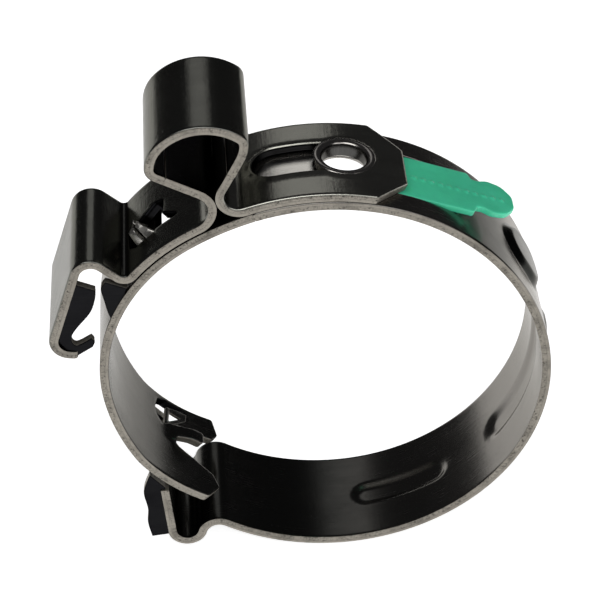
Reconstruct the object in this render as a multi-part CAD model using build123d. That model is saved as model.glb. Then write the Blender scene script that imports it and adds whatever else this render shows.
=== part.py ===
from build123d import *
from math import cos, radians, sin
import os

# Spring hose clamp. The hose axis is the Y axis and the spring loop stands on top, towards +Z.
# Each sheet-metal strip is bent from flat stock, so its side view is a path of straight runs
# and bends, thickened to the sheet and drawn out to the strip's width along Y.

# ---- driving dimensions, mm ----
STRIP_WIDTH = 16.0
SHEET = 1.2                    # both strips are cut from the same sheet
HALF = SHEET / 2
FLEX_GAP = 0.2                 # slit that stands for a place where a strip bends as it works

# the ring is five arcs in line, each tangent to the next; radii are to the sheet's middle
RING_CENTRE = (-0.2, -0.5)
RING_RADIUS = 27.9
HUMP_ANGLE = -121.0            # where the round stretch ends and the closing hook begins
ARM_ANGLE = -45.0              # where the closing arm flexes
TOP_ANGLE = 8.0                # where the flatter top stretch begins
TOP_RADIUS = 29.05
TONGUE_ANGLE = 109.5           # where the tongue flexes, under the loop's foot
SHOULDER_RADIUS = 38.0
SIDE_ANGLE = 122.0
SIDE_RADIUS = 24.4
END_ANGLE = 190.0
END_RADIUS = 30.7
TIP_ANGLE = 232.5

# spring strap
STRAP_GAP = 0.04               # between band and strap where the strap is fixed
STRAP_END_ANGLE = 70.1
STRAP_RADIUS = TOP_RADIUS + SHEET + STRAP_GAP
SADDLE_GAP = 0.18              # between tongue and strap where the strap is free
SADDLE_RADIUS = SIDE_RADIUS + SHEET + SADDLE_GAP

# eyelet and keyhole, at an angle about the top stretch's centre
EYELET_ANGLE = 85.0
EYELET_OUTER = 3.6
EYELET_BORE = 2.85
EYELET_RIM = 3.95
EYELET_PLAY = 0.05
RIM_HEIGHT = 0.35
SLOT_HALF_WIDTH = 2.9
SLOT_LENGTH = 8.6              # from the eyelet's axis to the slot's round end

# size tab
TAB_ANGLE = 70.5               # the tab leaves the band along the tangent here
TAB_LEVEL = TOP_RADIUS + 0.05  # distance of the tab's middle from the top stretch's centre
TAB_THICKNESS = 0.9
TAB_ROOT = 2.6                 # length held under the strap
TAB_BODY = 9.6
TAB_LENGTH = 15.8
TAB_HALF_WIDTH = 4.4
TAB_NECK_HALF = 2.9
TAB_HEAD_HALF = 3.5
TAB_PLAY = 0.1

# ears and lugs: side flanges folded square to the strips
EAR_INSET = 0.25               # from the strip's edge to the ear's outer face
BEAD_WIDTH = 3.4
BEAD_DEPTH = 0.5
BEADS = [(-82.0, -54.0), (-36.0, 9.0), (20.0, 39.0)]


def on_circle(centre, radius, angle):
    return (centre[0] + radius * cos(radians(angle)), centre[1] + radius * sin(radians(angle)))


def next_centre(centre, radius, new_radius, angle):
    """Centre of an arc of another radius that carries on smoothly at this angle."""
    return on_circle(centre, radius - new_radius, angle)


TOP_CENTRE = next_centre(RING_CENTRE, RING_RADIUS, TOP_RADIUS, TOP_ANGLE)
SHOULDER_CENTRE = next_centre(TOP_CENTRE, TOP_RADIUS, SHOULDER_RADIUS, TONGUE_ANGLE)
SIDE_CENTRE = next_centre(SHOULDER_CENTRE, SHOULDER_RADIUS, SIDE_RADIUS, SIDE_ANGLE)
END_CENTRE = next_centre(SIDE_CENTRE, SIDE_RADIUS, END_RADIUS, END_ANGLE)


def run(length):
    return (length, None)


def bend(radius, turn):
    """A bend of this middle radius; a positive turn is to the left of the way along."""
    return (radius, turn)


def walk(start, heading, moves, offset=0.0):
    """Edges of a path beside the strip's middle, and the middle's end point and heading."""
    x, z = start
    edges = []

    def beside(x, z, heading):
        return (x - offset * sin(radians(heading)), z + offset * cos(radians(heading)))

    for size, turn in moves:
        before = beside(x, z, heading)
        if turn is None:
            x, z = x + size * cos(radians(heading)), z + size * sin(radians(heading))
            edges.append(Line(before, beside(x, z, heading)))
            continue
        side = size if turn > 0 else -size
        centre = (x - side * sin(radians(heading)), z + side * cos(radians(heading)))
        points = []
        for share in (0.5, 1.0):
            angle = heading + turn * share
            x, z = centre[0] + side * sin(radians(angle)), centre[1] - side * cos(radians(angle))
            points.append(beside(x, z, angle))
        heading += turn
        edges.append(ThreePointArc(before, points[0], points[1]))
    return edges, (x, z), heading


def strip(start, heading, moves):
    """A bent strip of the full width along a path."""
    left, end, last = walk(start, heading, moves, HALF)
    right, end, last = walk(start, heading, moves, -HALF)
    caps = [Line(left[0] @ 0, right[0] @ 0), Line(left[-1] @ 1, right[-1] @ 1)]
    outline = Plane.XZ * make_face(left + right + caps)
    return extrude(outline, amount=STRIP_WIDTH / 2, both=True)


def radial_plane(centre, radius, angle):
    """Plane touching a circle: x runs clockwise round the ring, y along the hose, z outwards."""
    x, z = on_circle(centre, radius, angle)
    out = (cos(radians(angle)), 0, sin(radians(angle)))
    return Plane(origin=(x, 0, z), x_dir=(out[2], 0, -out[0]), z_dir=out)


def side_plate(outline, y_from, y_to):
    """A flat plate square to the hose axis, from a closed outline in the side view."""
    face = Plane.XZ * make_face(outline)
    return Pos(0, y_to, 0) * extrude(face, amount=y_to - y_from)


def ear_pair(outline):
    """The same side plate just inside both edges of a strip."""
    outer = STRIP_WIDTH / 2 - EAR_INSET
    near = side_plate(outline, -outer, -outer + SHEET)
    far = side_plate(outline, outer - SHEET, outer)
    return near + far


def ring_piece(centre, inner, outer, start, end, half_width):
    """A block between two radii and two angles."""
    edges = []
    for radius in (inner, outer):
        points = [on_circle(centre, radius, start + (end - start) * share) for share in (0, 0.5, 1)]
        edges.append(ThreePointArc(*points))
    edges.append(Line(edges[0] @ 0, edges[1] @ 0))
    edges.append(Line(edges[0] @ 1, edges[1] @ 1))
    return extrude(Plane.XZ * make_face(edges), amount=half_width, both=True)


def stiffen(band, centre, radius, start, end):
    """Press a stiffening bead outwards along the strip's middle."""
    outer, inner = radius + HALF, radius - HALF
    half = BEAD_WIDTH / 2
    rib = ring_piece(centre, outer - BEAD_DEPTH / 2, outer + BEAD_DEPTH, start, end, half)
    groove = ring_piece(centre, inner - SHEET, inner + BEAD_DEPTH, start + 1, end - 1, half - 0.6)
    return band + rib - groove


def arc_from(centre, radius, start, end):
    """Start point, heading and one bend that runs round a circle from one angle to another."""
    turn = end - start
    return on_circle(centre, radius, start), start + (90 if turn > 0 else -90), bend(radius, turn)


def slit_angle(radius):
    """Half of a flex slit, as an angle on the ring."""
    return FLEX_GAP / 2 / radians(1) / radius


def clamp_band():
    arm_end = ARM_ANGLE + slit_angle(RING_RADIUS)
    start, heading, ring = arc_from(RING_CENTRE, RING_RADIUS, arm_end, TOP_ANGLE)
    top = bend(TOP_RADIUS, TONGUE_ANGLE - slit_angle(TOP_RADIUS) - TOP_ANGLE)
    band = strip(start, heading, [ring, top])
    for bead_start, bead_end in BEADS[1:]:
        if bead_end > TOP_ANGLE + 1:
            band = stiffen(band, TOP_CENTRE, TOP_RADIUS, bead_start, bead_end)
        else:
            band = stiffen(band, RING_CENTRE, RING_RADIUS, bead_start, bead_end - 1)
    hole = radial_plane(TOP_CENTRE, TOP_RADIUS, EYELET_ANGLE) * Circle(EYELET_OUTER + EYELET_PLAY)
    band -= extrude(hole, amount=3, both=True)
    # window that the tab's root lies in, long enough for the straight tab to climb out of it
    half = TAB_HALF_WIDTH + TAB_PLAY
    window_end = 8.2
    window_start = -TAB_ROOT - TAB_PLAY
    window = Pos((window_end + window_start) / 2, 0) * Rectangle(window_end - window_start, 2 * half)
    plane = radial_plane(TOP_CENTRE, TOP_RADIUS, TAB_ANGLE)
    return band - extrude(plane * window, amount=3, both=True)


def closing_arm():
    arm_start = ARM_ANGLE - slit_angle(RING_RADIUS)
    start, heading, ring = arc_from(RING_CENTRE, RING_RADIUS, arm_start, HUMP_ANGLE)
    hook = [bend(2.3, 107), bend(2.1, -160), run(7.2)]
    arm = strip(start, heading, [ring] + hook)
    arm = stiffen(arm, RING_CENTRE, RING_RADIUS, *BEADS[0])
    wave = Spline((-25.2, -16.1), (-25.8, -18.7), (-25.3, -21.4), (-25.4, -23.9), (-24.9, -26.5))
    ear = [Line((-22.8, -18.2), (-25.2, -16.1)), wave, Line((-24.9, -26.5), (-22.0, -26.1))]
    ear.append(Line((-22.0, -26.1), (-22.8, -18.2)))
    return arm + ear_pair(ear)


def inner_tongue():
    first = TONGUE_ANGLE + slit_angle(SHOULDER_RADIUS)
    start, heading, shoulder = arc_from(SHOULDER_CENTRE, SHOULDER_RADIUS, first, SIDE_ANGLE)
    side = bend(SIDE_RADIUS, END_ANGLE - SIDE_ANGLE)
    end = bend(END_RADIUS, TIP_ANGLE - END_ANGLE)
    tongue = strip(start, heading, [shoulder, side, end])
    wave = Spline((-29.1, 17.7), (-29.7, 16.6), (-29.35, 14.5), (-28.95, 12.6), (-28.2, 10.6))
    lug = [Line((-26.4, 16.6), (-29.1, 17.7)), wave, Line((-28.2, 10.6), (-27.9, 10.8))]
    lug.append(Line((-27.9, 10.8), (-26.4, 16.6)))
    tongue += ear_pair(lug)
    # forked tip: two prongs with a shorter finger between them
    tip = radial_plane(END_CENTRE, END_RADIUS, TIP_ANGLE)
    half = STRIP_WIDTH / 2
    cuts = Pos(-1.5, 0) * Rectangle(5.0, 4.8)
    for side_of in (-1, 1):
        cuts += Pos(-5.6, side_of * 1.75) * Rectangle(4.4, 1.3)
        beyond = side_of * (half + 0.1)
        corner = Polyline((-2.2, beyond), (0.3, side_of * (half - 2.6)), (0.3, beyond), close=True)
        cuts += make_face(corner)
    tongue -= extrude(tip * cuts, amount=3, both=True)
    window = radial_plane(END_CENTRE, END_RADIUS, 209.0) * (Pos(0, 0.6) * RectangleRounded(3.4, 3.0, 0.9))
    return tongue - extrude(window, amount=3, both=True)


# the strap's path, from its chamfered end over the loop and down to the latch
ANCHOR_MOVES = [bend(STRAP_RADIUS, 39.12), bend(2.3, -135.4), run(5.1), bend(4.9, 23.0), bend(1.3, 57.0)]
CROWN_RADIUS = 7.4
CROWN_TURN = 82.0
FOOT_MOVES = [bend(5.0, 40.5), bend(1.3, 66.0), run(5.8), bend(3.0, -123.86)]
SADDLE_MOVES = [bend(SADDLE_RADIUS - SIDE_RADIUS + SHOULDER_RADIUS, 3.5), bend(SADDLE_RADIUS, 19.27)]
LATCH_MOVES = [bend(1.3, -92.0), run(2.6), bend(2.1, 113.5), run(10.6), bend(2.1, 100.0)]


def half_crown():
    """Half of the loop's crown, short of the flex slit in its middle."""
    return bend(CROWN_RADIUS, CROWN_TURN / 2 - FLEX_GAP / 2 / radians(1) / CROWN_RADIUS)


def crown_middle():
    start, heading, first = arc_from(TOP_CENTRE, STRAP_RADIUS, STRAP_END_ANGLE, STRAP_END_ANGLE + 1)
    moves = ANCHOR_MOVES + [bend(CROWN_RADIUS, CROWN_TURN / 2)]
    edges, end, heading = walk(start, heading, moves)
    return end, heading


def strap_anchor():
    start, heading, first = arc_from(TOP_CENTRE, STRAP_RADIUS, STRAP_END_ANGLE, STRAP_END_ANGLE + 1)
    anchor = strip(start, heading, ANCHOR_MOVES + [half_crown()])
    plane = radial_plane(TOP_CENTRE, STRAP_RADIUS, EYELET_ANGLE)
    keyhole = Circle(EYELET_OUTER + EYELET_PLAY)
    keyhole += Pos(-SLOT_LENGTH / 2, 0) * Rectangle(SLOT_LENGTH, 2 * SLOT_HALF_WIDTH)
    keyhole += Pos(-SLOT_LENGTH, 0) * Circle(SLOT_HALF_WIDTH)
    anchor -= extrude(plane * keyhole, amount=3, both=True)
    # both corners of the strap's end are cut off
    half = STRIP_WIDTH / 2
    end = radial_plane(TOP_CENTRE, STRAP_RADIUS, STRAP_END_ANGLE)
    for side in (-1, 1):
        corner = [(-4.2, side * (half + 0.1)), (0.6, side * 3.0), (0.6, side * (half + 0.1))]
        anchor -= extrude(end * make_face(Polyline(*corner, close=True)), amount=3, both=True)
    return anchor


def hook_lever():
    middle, heading = crown_middle()
    slit = FLEX_GAP / 2
    start = (middle[0] + slit * cos(radians(heading)), middle[1] + slit * sin(radians(heading)))
    turned = heading + slit / CROWN_RADIUS / radians(1)
    lever = strip(start, turned, [half_crown()] + FOOT_MOVES + SADDLE_MOVES + LATCH_MOVES)
    # latch ears: a wavy front edge above a C notch that grips the closing arm's hook
    notch = ThreePointArc((-33.0, 10.5), (-33.8, 9.0), (-33.1, 7.6))
    front = Spline((-30.3, 16.9), (-30.5, 15.0), (-31.2, 12.9), (-33.0, 10.5))
    lip = [Line((-33.1, 7.6), (-31.3, 8.8)), ThreePointArc((-31.3, 8.8), (-30.9, 8.1), (-31.2, 7.3))]
    back = Polyline((-31.2, 7.3), (-33.2, 5.85), (-34.2, 6.1), (-35.3, 8.4), (-33.0, 16.0), (-32.7, 18.1))
    ear = [Line((-32.7, 18.1), (-30.3, 16.9)), front, notch] + lip + [back]
    lever += ear_pair(ear)
    # window in the saddle, over the tongue
    window = radial_plane(SIDE_CENTRE, SADDLE_RADIUS, 131.0) * RectangleRounded(6.2, 4.4, 1.2)
    return lever - extrude(window, amount=1.5, both=True)


def eyelet():
    """Flanged tube that fixes the strap to the band; its bore takes the fitting tool's pin."""
    bottom = TOP_RADIUS - HALF + 0.02
    strap_top = STRAP_RADIUS + HALF
    plane = radial_plane(TOP_CENTRE, bottom, EYELET_ANGLE)
    tube = extrude(plane * Circle(EYELET_OUTER), amount=strap_top + RIM_HEIGHT - bottom)
    rim_plane = radial_plane(TOP_CENTRE, strap_top + 0.02, EYELET_ANGLE)
    tube += extrude(rim_plane * Circle(EYELET_RIM), amount=RIM_HEIGHT - 0.02)
    top_edge = tube.edges().sort_by(Axis(plane.origin, plane.z_dir))[-1]
    tube = fillet(top_edge, RIM_HEIGHT - 0.1)
    return tube - extrude(plane * Circle(EYELET_BORE), amount=8, both=True)


def size_tab():
    """Flat plastic tab with a necked, rounded head and a row of grip pips."""
    plane = radial_plane(TOP_CENTRE, TAB_LEVEL - TAB_THICKNESS / 2, TAB_ANGLE)
    body = Pos((TAB_BODY - TAB_ROOT) / 2, 0) * Rectangle(TAB_BODY + TAB_ROOT, 2 * TAB_HALF_WIDTH)
    neck_length = 1.6
    head_length = TAB_LENGTH - TAB_BODY - neck_length
    neck = Pos(TAB_BODY + neck_length / 2, 0) * Rectangle(neck_length + 1.0, 2 * TAB_NECK_HALF)
    head = Pos(TAB_LENGTH - head_length / 2, 0) * RectangleRounded(head_length, 2 * TAB_HEAD_HALF, 1.9)
    tab = extrude(plane * (body + neck + head), amount=TAB_THICKNESS)
    top = radial_plane(TOP_CENTRE, TAB_LEVEL + TAB_THICKNESS / 2, TAB_ANGLE)
    for step in range(11):
        pip = Pos(1.8 + 1.2 * step, 0) * Circle(0.3)
        tab += extrude(top * pip, amount=0.2)
    return tab


def write(node, shape):
    shape.label = node
    export_step(shape, f"parts/{node}.step")
    print(node, "solids", len(shape.solids()), "volume", round(shape.volume, 1))


os.makedirs("parts", exist_ok=True)
write("clamp_band", clamp_band())
write("closing_arm", closing_arm())
write("inner_tongue", inner_tongue())
write("strap_anchor", strap_anchor())
write("hook_lever", hook_lever())
write("hollow_rivet", eyelet())
write("size_tab", size_tab())
print("arm pivot", on_circle(RING_CENTRE, RING_RADIUS, ARM_ANGLE))
print("tongue pivot", on_circle(TOP_CENTRE, TOP_RADIUS, TONGUE_ANGLE))
print("loop pivot", crown_middle())
print("eyelet", on_circle(TOP_CENTRE, STRAP_RADIUS, EYELET_ANGLE))
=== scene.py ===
from bisect import bisect_right
from math import atan2, ceil, cos, degrees, exp, hypot, pi, radians, sin, sqrt

import bpy
import numpy as np
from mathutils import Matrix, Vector
from mathutils.geometry import delaunay_2d_cdt


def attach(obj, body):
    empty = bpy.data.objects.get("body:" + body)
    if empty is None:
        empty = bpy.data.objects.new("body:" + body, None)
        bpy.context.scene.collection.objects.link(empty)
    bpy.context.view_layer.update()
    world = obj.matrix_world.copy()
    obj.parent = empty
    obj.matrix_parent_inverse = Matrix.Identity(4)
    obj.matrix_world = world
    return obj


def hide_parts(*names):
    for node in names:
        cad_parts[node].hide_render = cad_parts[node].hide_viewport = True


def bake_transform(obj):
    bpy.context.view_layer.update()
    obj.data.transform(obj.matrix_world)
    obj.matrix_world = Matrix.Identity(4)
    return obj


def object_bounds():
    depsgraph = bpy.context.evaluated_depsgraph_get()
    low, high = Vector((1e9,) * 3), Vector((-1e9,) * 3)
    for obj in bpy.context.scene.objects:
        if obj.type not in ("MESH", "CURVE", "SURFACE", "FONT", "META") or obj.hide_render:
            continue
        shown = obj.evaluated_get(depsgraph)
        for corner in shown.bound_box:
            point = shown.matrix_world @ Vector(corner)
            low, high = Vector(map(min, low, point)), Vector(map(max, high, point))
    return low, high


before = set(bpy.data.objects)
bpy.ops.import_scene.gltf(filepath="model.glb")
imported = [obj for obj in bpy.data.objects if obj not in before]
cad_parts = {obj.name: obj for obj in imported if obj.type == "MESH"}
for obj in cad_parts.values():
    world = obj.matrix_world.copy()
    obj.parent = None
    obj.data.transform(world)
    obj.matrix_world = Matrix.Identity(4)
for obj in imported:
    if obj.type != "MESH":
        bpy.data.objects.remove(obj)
cad_low, cad_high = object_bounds()

# Lengths below are in millimetres, as in the CAD source, and meshes are scaled to metres when made.
MM = 0.001

# ---- the strips, as in the CAD, apart from TIP_REACH, the tab's window and SEAM_ANGLE ----
WIDTH = 16.0
SHEET = 1.2
HALF = SHEET / 2
EDGE = WIDTH / 2
RING_CENTRE = (-0.2, -0.5)
RING_RADIUS = 27.9
HUMP_ANGLE = -121.0
TOP_ANGLE = 8.0
TOP_RADIUS = 29.05
TONGUE_ANGLE = 109.5
SHOULDER_RADIUS = 38.0
SIDE_ANGLE = 122.0
SIDE_RADIUS = 24.4
END_ANGLE = 190.0
END_RADIUS = 30.7
TIP_ANGLE = 232.5
TIP_REACH = 3.0                # how many degrees further the prongs reach than the CAD's plain strip
STRAP_RADIUS = TOP_RADIUS + SHEET + 0.04
STRAP_END_ANGLE = 70.1
SADDLE_RADIUS = SIDE_RADIUS + SHEET + 0.18
EYELET_ANGLE = 85.0
TAB_ANGLE = 70.5
TAB_WINDOW_BACK = 2.7          # how far the tab's window in the band reaches, both ways from TAB_ANGLE
TAB_WINDOW_FRONT = 7.55
RIVET_OUTER = 3.6
RIVET_HOLE = 3.65
RIVET_BORE = 2.85
RIVET_RIM = 3.95
SEAM_ANGLE = 108.0             # hidden joint between the band's two meshes, under the strap's foot


def on_circle(centre, radius, angle):
    """The point of a circle at an angle in degrees, in the side view."""
    return (centre[0] + radius * cos(radians(angle)), centre[1] + radius * sin(radians(angle)))


def next_centre(centre, radius, new_radius, angle):
    """The centre of an arc that carries on smoothly from another one at an angle."""
    return on_circle(centre, radius - new_radius, angle)


TOP_CENTRE = next_centre(RING_CENTRE, RING_RADIUS, TOP_RADIUS, TOP_ANGLE)
SHOULDER_CENTRE = next_centre(TOP_CENTRE, TOP_RADIUS, SHOULDER_RADIUS, TONGUE_ANGLE)
SIDE_CENTRE = next_centre(SHOULDER_CENTRE, SHOULDER_RADIUS, SIDE_RADIUS, SIDE_ANGLE)


class Path:
    """A strip's middle line in the side view; u is the length along it. Each move is an arc's radius
    and turn in degrees, or a straight run's length and None."""

    def __init__(self, start, heading, moves):
        x, z = start
        angle = radians(heading)
        self.pieces = []
        self.breaks = [0.0]
        for size, turn in moves:
            length = size if turn is None else size * abs(radians(turn))
            curve = 0.0 if turn is None else radians(turn) / length
            self.pieces.append((x, z, angle, curve))
            self.breaks.append(self.breaks[-1] + length)
            x, z, angle = self.advance(self.pieces[-1], length)
        self.length = self.breaks[-1]

    @staticmethod
    def advance(piece, length):
        """The point and the heading after a length of one piece."""
        x, z, angle, curve = piece
        if curve == 0.0:
            return x + length * cos(angle), z + length * sin(angle), angle
        after = angle + curve * length
        return x + (sin(after) - sin(angle)) / curve, z - (cos(after) - cos(angle)) / curve, after

    def at(self, u):
        """The point and the heading at u."""
        index = min(max(bisect_right(self.breaks, u) - 1, 0), len(self.pieces) - 1)
        return self.advance(self.pieces[index], u - self.breaks[index])

    def place(self, u, y, n):
        """The point at u along the path, y across the strip and n off its middle plane."""
        x, z, angle = self.at(u)
        return (x - n * sin(angle), y, z + n * cos(angle))

    def stations(self, start, end, longest=0.6, turn=7.0):
        """Values of u between two ends, closer together where the strip is bent tightly."""
        marks = [start]
        for index, (x, z, angle, curve) in enumerate(self.pieces):
            low, high = max(self.breaks[index], start), min(self.breaks[index + 1], end)
            if high - low < 1e-6:
                continue
            step = min(longest, radians(turn) / abs(curve)) if curve else longest
            count = max(1, ceil((high - low) / step - 1e-9))
            marks += [low + (high - low) * (k + 1) / count for k in range(count)]
        return marks


def arc_path(centre, radius, start, end, more=()):
    """A path that starts as an arc between two angles and goes on with more moves."""
    turn = end - start
    heading = start + (90 if turn > 0 else -90)
    return Path(on_circle(centre, radius, start), heading, [(radius, turn), *more])


# the right half of the band: from the hidden seam clockwise to the closing hook
HOOK_MOVES = [(2.3, 107.0), (2.1, -160.0), (7.7, None)]
RIGHT_MOVES = [(RING_RADIUS, HUMP_ANGLE - TOP_ANGLE), *HOOK_MOVES]
right_path = arc_path(TOP_CENTRE, TOP_RADIUS, SEAM_ANGLE, TOP_ANGLE, RIGHT_MOVES)
# the left half: from the seam the other way round to the tongue's forked tip
left_path = arc_path(TOP_CENTRE, TOP_RADIUS, SEAM_ANGLE, TONGUE_ANGLE, [
    (SHOULDER_RADIUS, SIDE_ANGLE - TONGUE_ANGLE),
    (SIDE_RADIUS, END_ANGLE - SIDE_ANGLE),
    (END_RADIUS, TIP_ANGLE + TIP_REACH - END_ANGLE),
])
# the spring strap, from its chamfered end over the loop and down to the latch's lip
LIP_REACH = 1.2                # how much further the lip's near corner reaches than in the CAD
STRAP_MOVES = [
    (STRAP_RADIUS, 39.12), (2.3, -135.4), (5.1, None), (4.9, 23.0), (1.3, 57.0),
    (7.4, 82.0), (5.0, 40.5), (1.3, 66.0), (5.8, None), (3.0, -123.86),
    (SADDLE_RADIUS - SIDE_RADIUS + SHOULDER_RADIUS, 3.5), (SADDLE_RADIUS, 19.27),
    (1.3, -92.0), (2.6, None), (2.1, 113.5), (10.6, None), (2.1, 100.0), (LIP_REACH, None),
]
strap_path = Path(on_circle(TOP_CENTRE, STRAP_RADIUS, STRAP_END_ANGLE), STRAP_END_ANGLE + 90, STRAP_MOVES)


def right_u(angle):
    """Length along the right half at an angle of the ring."""
    if angle > TOP_ANGLE:
        return TOP_RADIUS * radians(SEAM_ANGLE - angle)
    return TOP_RADIUS * radians(SEAM_ANGLE - TOP_ANGLE) + RING_RADIUS * radians(TOP_ANGLE - angle)


# ---- flat blanks, bent into shape ----
def smooth(x):
    """Rises from 0 to 1 with soft ends."""
    x = min(max(x, 0.0), 1.0)
    return x * x * (3 - 2 * x)


def circle(u, y, radius, count, start=0.0, end=360.0):
    """Points of a circle, or of an arc between two angles."""
    step = radians(end - start) / count
    return [(u + radius * cos(radians(start) + k * step), y + radius * sin(radians(start) + k * step))
            for k in range(count + (end - start < 360))]


def rounded(points, radius, count=5):
    """A closed outline with every corner rounded; radius is one number or one per corner."""
    radii = radius if isinstance(radius, (list, tuple)) else [radius] * len(points)
    made = []
    for k, corner in enumerate(points):
        here = Vector(corner)
        before = Vector(points[k - 1]) - here
        after = Vector(points[(k + 1) % len(points)]) - here
        if radii[k] < 0.01:
            made.append(tuple(here))
            continue
        half = before.angle(after) / 2
        reach = min(radii[k] / max(sin(half) / cos(half), 1e-6), 0.49 * before.length, 0.49 * after.length)
        a, b = here + before.normalized() * reach, here + after.normalized() * reach
        for j in range(count + 1):
            t = j / count
            made.append(tuple(a * (1 - t) ** 2 + here * 2 * t * (1 - t) + b * t * t))
    return made


def along(points, marks, longest=0.45):
    """A closed outline with more points on it: at the stations where it runs along the strip."""
    made = []
    for k, a in enumerate(points):
        b = points[(k + 1) % len(points)]
        made.append(a)
        length = hypot(b[0] - a[0], b[1] - a[1])
        if abs(b[0] - a[0]) > 0.9 * length and marks is not None:
            low, high = min(a[0], b[0]), max(a[0], b[0])
            between = [m for m in marks if low + 0.1 < m < high - 0.1]
            shares = sorted((m - a[0]) / (b[0] - a[0]) for m in between)
        else:
            count = max(1, ceil(length / longest))
            shares = [j / count for j in range(1, count)]
        made += [(a[0] + (b[0] - a[0]) * t, a[1] + (b[1] - a[1]) * t) for t in shares]
    return made


def area(points):
    """Signed area of a closed outline, positive when it runs anticlockwise."""
    p = np.array(points)
    q = np.roll(p, -1, axis=0)
    return 0.5 * float((p[:, 0] * q[:, 1] - q[:, 0] * p[:, 1]).sum())


def inside(points, loops):
    """Which points lie in the material, by crossings with every loop."""
    p = np.asarray(points, float)
    count = np.zeros(len(p), int)
    for loop in loops:
        a = np.array(loop)
        b = np.roll(a, -1, axis=0)
        for (ax, ay), (bx, by) in zip(a, b):
            if ay == by:
                continue
            hit = (p[:, 1] >= min(ay, by)) & (p[:, 1] < max(ay, by))
            x = ax + (p[:, 1] - ay) * (bx - ax) / (by - ay)
            count += hit & (p[:, 0] < x)
    return count % 2 == 1


def margin(points, loops):
    """Distance of each point from the nearest loop."""
    p = np.asarray(points, float)
    best = np.full(len(p), 1e9)
    for loop in loops:
        a = np.array(loop)
        b = np.roll(a, -1, axis=0)
        for start, end in zip(a, b):
            d = end - start
            t = np.clip(((p - start) @ d) / max(d @ d, 1e-12), 0, 1)
            best = np.minimum(best, np.hypot(*(p - start - t[:, None] * d).T))
    return best


def inward(loop):
    """For each point of a loop, the direction into the material, which is on the loop's left."""
    p = np.array(loop)
    before = p - np.roll(p, 1, axis=0)
    after = np.roll(p, -1, axis=0) - p
    before /= np.maximum(np.linalg.norm(before, axis=1, keepdims=True), 1e-9)
    after /= np.maximum(np.linalg.norm(after, axis=1, keepdims=True), 1e-9)
    n = np.stack([-(before + after)[:, 1], (before + after)[:, 0]], -1)
    n /= np.maximum(np.linalg.norm(n, axis=1, keepdims=True), 1e-9)
    cosine = np.clip((n * np.stack([-after[:, 1], after[:, 0]], -1)).sum(1, keepdims=True), 0.5, 1)
    return n / cosine


def blanked_profile(half, burr, roll=0.2):
    """Across a cut edge from the top face to the underside: (inset, level). The top is rolled over."""
    return [(roll, half), (roll * 0.45, half - roll * 0.15), (roll * 0.1, half - roll * 0.5),
            (0.0, half - roll), (0.0, half * 0.25), (burr, half * 0.05), (burr, -half * 0.6),
            (burr + 0.02, -half + 0.09), (burr + 0.05, -half + 0.03), (burr + 0.12, -half)]


def is_rolled(a, b):
    """Whether a step of an edge profile still belongs to the sheet's face."""
    return abs(b[0] - a[0]) > 0.6 * abs(b[1] - a[1])


def upside_down(profile):
    """The same edge with its rolled side at the bottom."""
    return [(inset, -level) for inset, level in reversed(profile)]


def moulded_profile(half, radius):
    """Across a moulded edge, rounded at the top and at the bottom."""
    steps = [k * pi / 8 for k in range(5)]
    top = [(radius * (1 - sin(a)), half - radius * (1 - cos(a))) for a in steps]
    return top + [(inset, -level) for inset, level in reversed(top)]


# the material indexes of a sheet piece: its faces, its blanked edges, parts painted near-black as shade and
# the lanced claws, painted lighter as highlight
FACE, CUT, SHADE, CLAW = range(4)
GRID_MARGIN = 0.42             # how far a mesh's inner points stay from its outline and holes


def flat_triangles(loops, grid):
    """Triangles over the material between the loops. Their corners are indexes into the loops' points
    with the grid's points after them."""
    points, edges = [], []
    for loop in loops:
        first, count = len(points), len(loop)
        points += [tuple(p) for p in loop]
        edges += [(first + k, first + (k + 1) % count) for k in range(count)]
    points += [tuple(p) for p in grid]
    meshed = delaunay_2d_cdt([Vector(p) for p in points], edges, [], 0, 1e-5)
    out, triangles, origins = meshed[0], meshed[2], meshed[3]
    flat = np.array([tuple(v) for v in out])
    keep = inside([flat[list(t)].mean(0) for t in triangles], loops)
    # where an inset outline crosses itself there is a new point, which the nearest old one stands for
    known = np.array(points)
    back = [o[0] if o else int(np.hypot(*(known - p).T).argmin()) for o, p in zip(origins, flat)]
    made = [tuple(back[v] for v in t) for t, k in zip(triangles, keep) if k]
    return [t for t in made if len(set(t)) == 3]


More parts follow.
